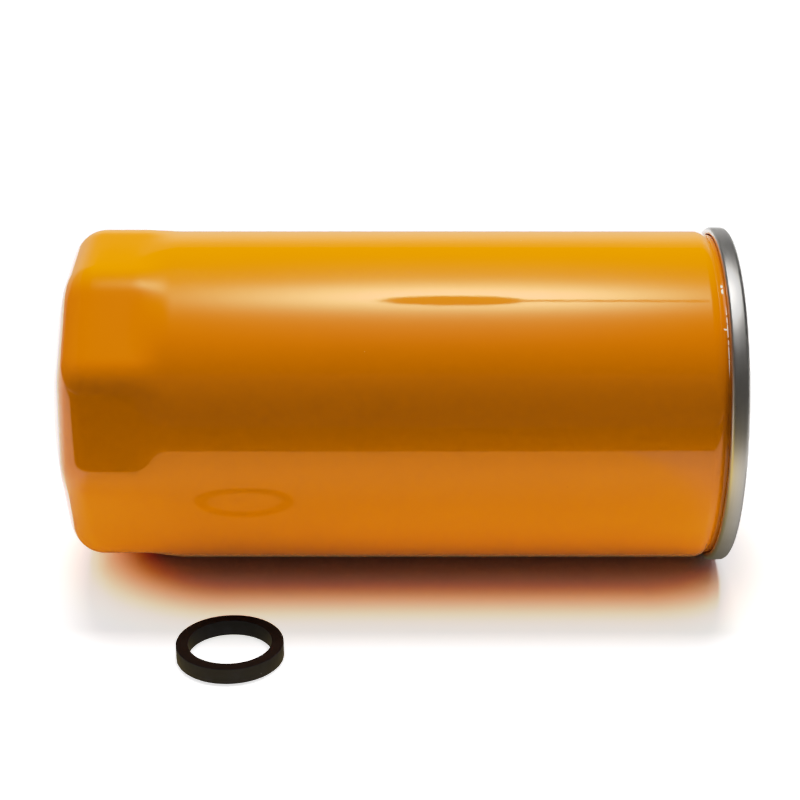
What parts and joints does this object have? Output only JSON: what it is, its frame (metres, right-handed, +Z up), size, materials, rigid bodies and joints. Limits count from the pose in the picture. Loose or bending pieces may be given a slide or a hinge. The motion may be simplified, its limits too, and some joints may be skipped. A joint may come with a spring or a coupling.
{
  "type": "spin-on oil filter",
  "caption": "Spin-on oil filter: painted steel canister with a fluted closed end, seamed lid, threaded base plate, pleated element with bypass valve, and a loose stud seal.",
  "frame": {"origin": "centre of the threaded hole's mouth, on the axis, in the outer face of the base plate", "axes": "+X along the filter's axis and out of the threaded mouth, away from the domed closed end; +Z up as the filter lies on its side; -Y towards the side where the loose stud seal lies"},
  "size_m": [0.1903, 0.1276, 0.0946],
  "materials": {
    "canister_paint": "gloss",
    "zinc_plate": "satin",
    "seam_compound": "matte",
    "base_steel": "satin",
    "gasket_rubber": "matte",
    "valve_rubber": "matte",
    "cap_steel": "satin",
    "potting": "matte",
    "filter_paper": "matte",
    "clip_steel": "satin",
    "hot_melt": "matte",
    "tube_steel": "satin",
    "seat_steel": "satin",
    "cage_steel": "satin",
    "poppet_steel": "satin",
    "poppet_rubber": "matte",
    "spring_steel": "gloss",
    "plate_steel": "satin",
    "seal_rubber": "matte"
  },
  "bodies": {
    "housing": {"canister": "canister_paint", "seaming_lid": "zinc_plate", "seam_sealant": "seam_compound", "base_plate": "base_steel", "outer_gasket": "gasket_rubber", "element_spring": "spring_steel"},
    "anti_drain_flap": {"anti_drain_valve": "valve_rubber"},
    "element": {"lower_end_cap": "cap_steel", "lower_potting": "potting", "pleated_media": "filter_paper", "media_seam_clip": "clip_steel", "pleat_bands": "hot_melt", "centre_tube": "tube_steel", "upper_potting": "potting", "upper_end_cap": "cap_steel", "bypass_seat_ring": "seat_steel", "bypass_cage": "cage_steel", "bypass_spring": "spring_steel", "spring_plate": "plate_steel"},
    "bypass_plug": {"bypass_poppet": "poppet_steel", "bypass_poppet_seal": "poppet_rubber"},
    "stud_seal": {"stud_seal_ring": "seal_rubber"}
  },
  "joints": [
    {"name": "anti_drain_lift", "type": "slide", "parent": "housing", "child": "anti_drain_flap", "axis": [-1, 0, 0], "range_m": [0, 0.0015], "stiffness_N_per_m": 400, "springref_m": -0.001, "deforming": ["anti_drain_valve"]},
    {"name": "element_float", "type": "slide", "parent": "housing", "child": "element", "axis": [-1, 0, 0], "range_m": [0, 0.003], "stiffness_N_per_m": 6000, "springref_m": -0.01, "deforming": ["element_spring"]},
    {"name": "bypass_open", "type": "slide", "parent": "element", "child": "bypass_plug", "axis": [1, 0, 0], "range_m": [0, 0.004], "stiffness_N_per_m": 3000, "springref_m": -0.015, "deforming": ["bypass_spring"]},
    {"name": "stud_seal_lift", "type": "slide", "parent": "housing", "child": "stud_seal", "axis": [0, 0, 1], "range_m": [0, 0.1]}
  ]
}
